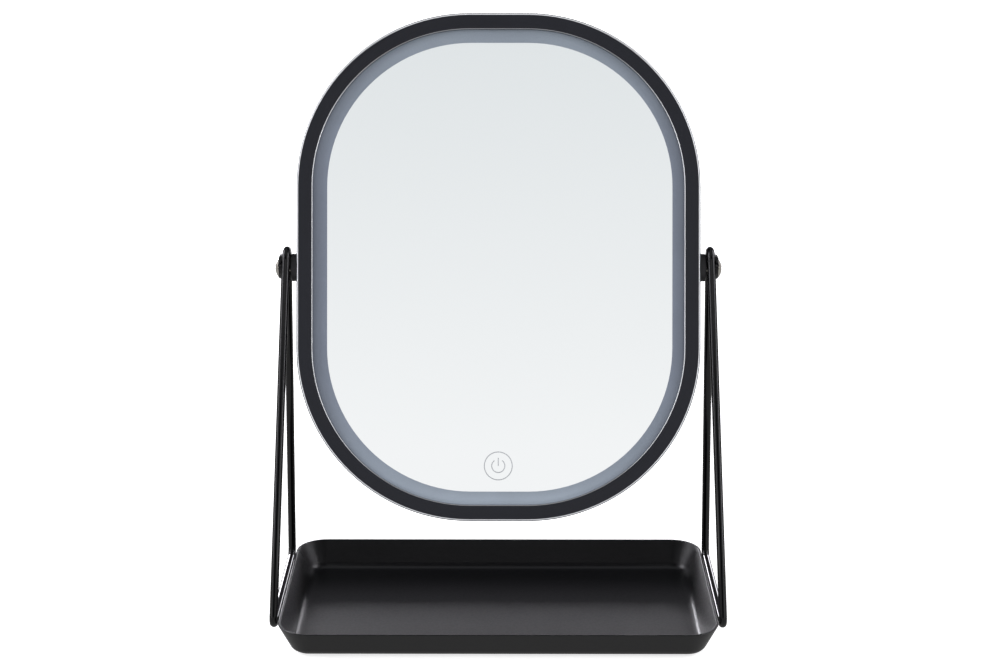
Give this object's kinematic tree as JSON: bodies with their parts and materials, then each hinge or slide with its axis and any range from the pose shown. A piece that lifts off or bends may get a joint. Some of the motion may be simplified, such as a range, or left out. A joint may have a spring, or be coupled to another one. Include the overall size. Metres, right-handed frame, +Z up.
{
  "type": "tilting vanity mirror",
  "caption": "Rounded mirror with an etched light band, tilting between two bent-wire side frames over a shallow open metal tray.",
  "frame": {"origin": "on the table under the middle of the tray", "axes": "+Z up, -Y towards the user, +X to the right as the user sees it"},
  "size_m": [0.2318, 0.1248, 0.3128],
  "materials": {
    "powder_coated_tray": "satin black powder coat on pressed steel",
    "rubber_pad": "matte black rubber",
    "painted_wire": "gloss black paint on bent steel wire",
    "painted_plate": "gloss black paint on punched steel",
    "nylon_spacer": "matte black turned nylon",
    "brass_insert": "turned brass",
    "nickel_screw": "nickel-plated steel",
    "moulded_bezel": "satin black moulded ABS",
    "float_glass": "float glass, edge band etched",
    "mirror_silver": "silver under grey backing paint",
    "opal_diffuser": "opal acrylic",
    "white_board": "white solder resist",
    "light_diode": "diode packages with phosphor tops",
    "white_pan": "white moulded polystyrene",
    "foam_tape": "grey foam",
    "plated_spring": "plated spring wire",
    "green_board": "green solder resist",
    "black_component": "moulded component bodies",
    "lead_insulation": "PVC insulation",
    "moulded_cover": "fine spark-eroded texture, black ABS",
    "black_screw": "blackened steel",
    "contact_strip": "nickel-plated strip",
    "moulded_door": "fine spark-eroded texture, black ABS",
    "cell_jacket": "printed jacket over a metal can, plain"
  },
  "bodies": {
    "stand": {"tray": "powder_coated_tray", "tray_feet": "rubber_pad", "wire_frame_right": "painted_wire", "wire_frame_left": "painted_wire", "pivot_plate_right": "painted_plate", "pivot_plate_left": "painted_plate"},
    "head": {"pivot_spacer_right": "nylon_spacer", "pivot_spacer_left": "nylon_spacer", "pivot_insert_right": "brass_insert", "pivot_insert_left": "brass_insert", "pivot_screw_right": "nickel_screw", "pivot_screw_left": "nickel_screw", "front_frame": "moulded_bezel", "mirror_glass": "float_glass", "mirror_silvering": "mirror_silver", "diffuser_ring": "opal_diffuser", "led_board": "white_board", "leds": "light_diode", "reflector_tray": "white_pan", "foam_pads": "foam_tape", "touch_spring": "plated_spring", "control_board": "green_board", "board_components": "black_component", "battery_leads": "lead_insulation", "led_leads": "lead_insulation", "rear_cover": "moulded_cover", "cover_screws": "black_screw", "contact_plates": "contact_strip", "contact_springs": "contact_strip", "battery_cell_1": "cell_jacket", "battery_cell_2": "cell_jacket", "battery_cell_3": "cell_jacket", "battery_cell_4": "cell_jacket"},
    "door": {"battery_door": "moulded_door"}
  },
  "joints": [
    {"name": "head_tilt", "type": "hinge", "parent": "stand", "child": "head", "pos_m": [0, 0.0005, 0.189], "axis": [1, 0, 0], "continuous": true},
    {"name": "door_slide", "type": "slide", "parent": "head", "child": "door", "axis": [0, -0.284, -0.9588], "range_m": [0, 0.056]}
  ]
}
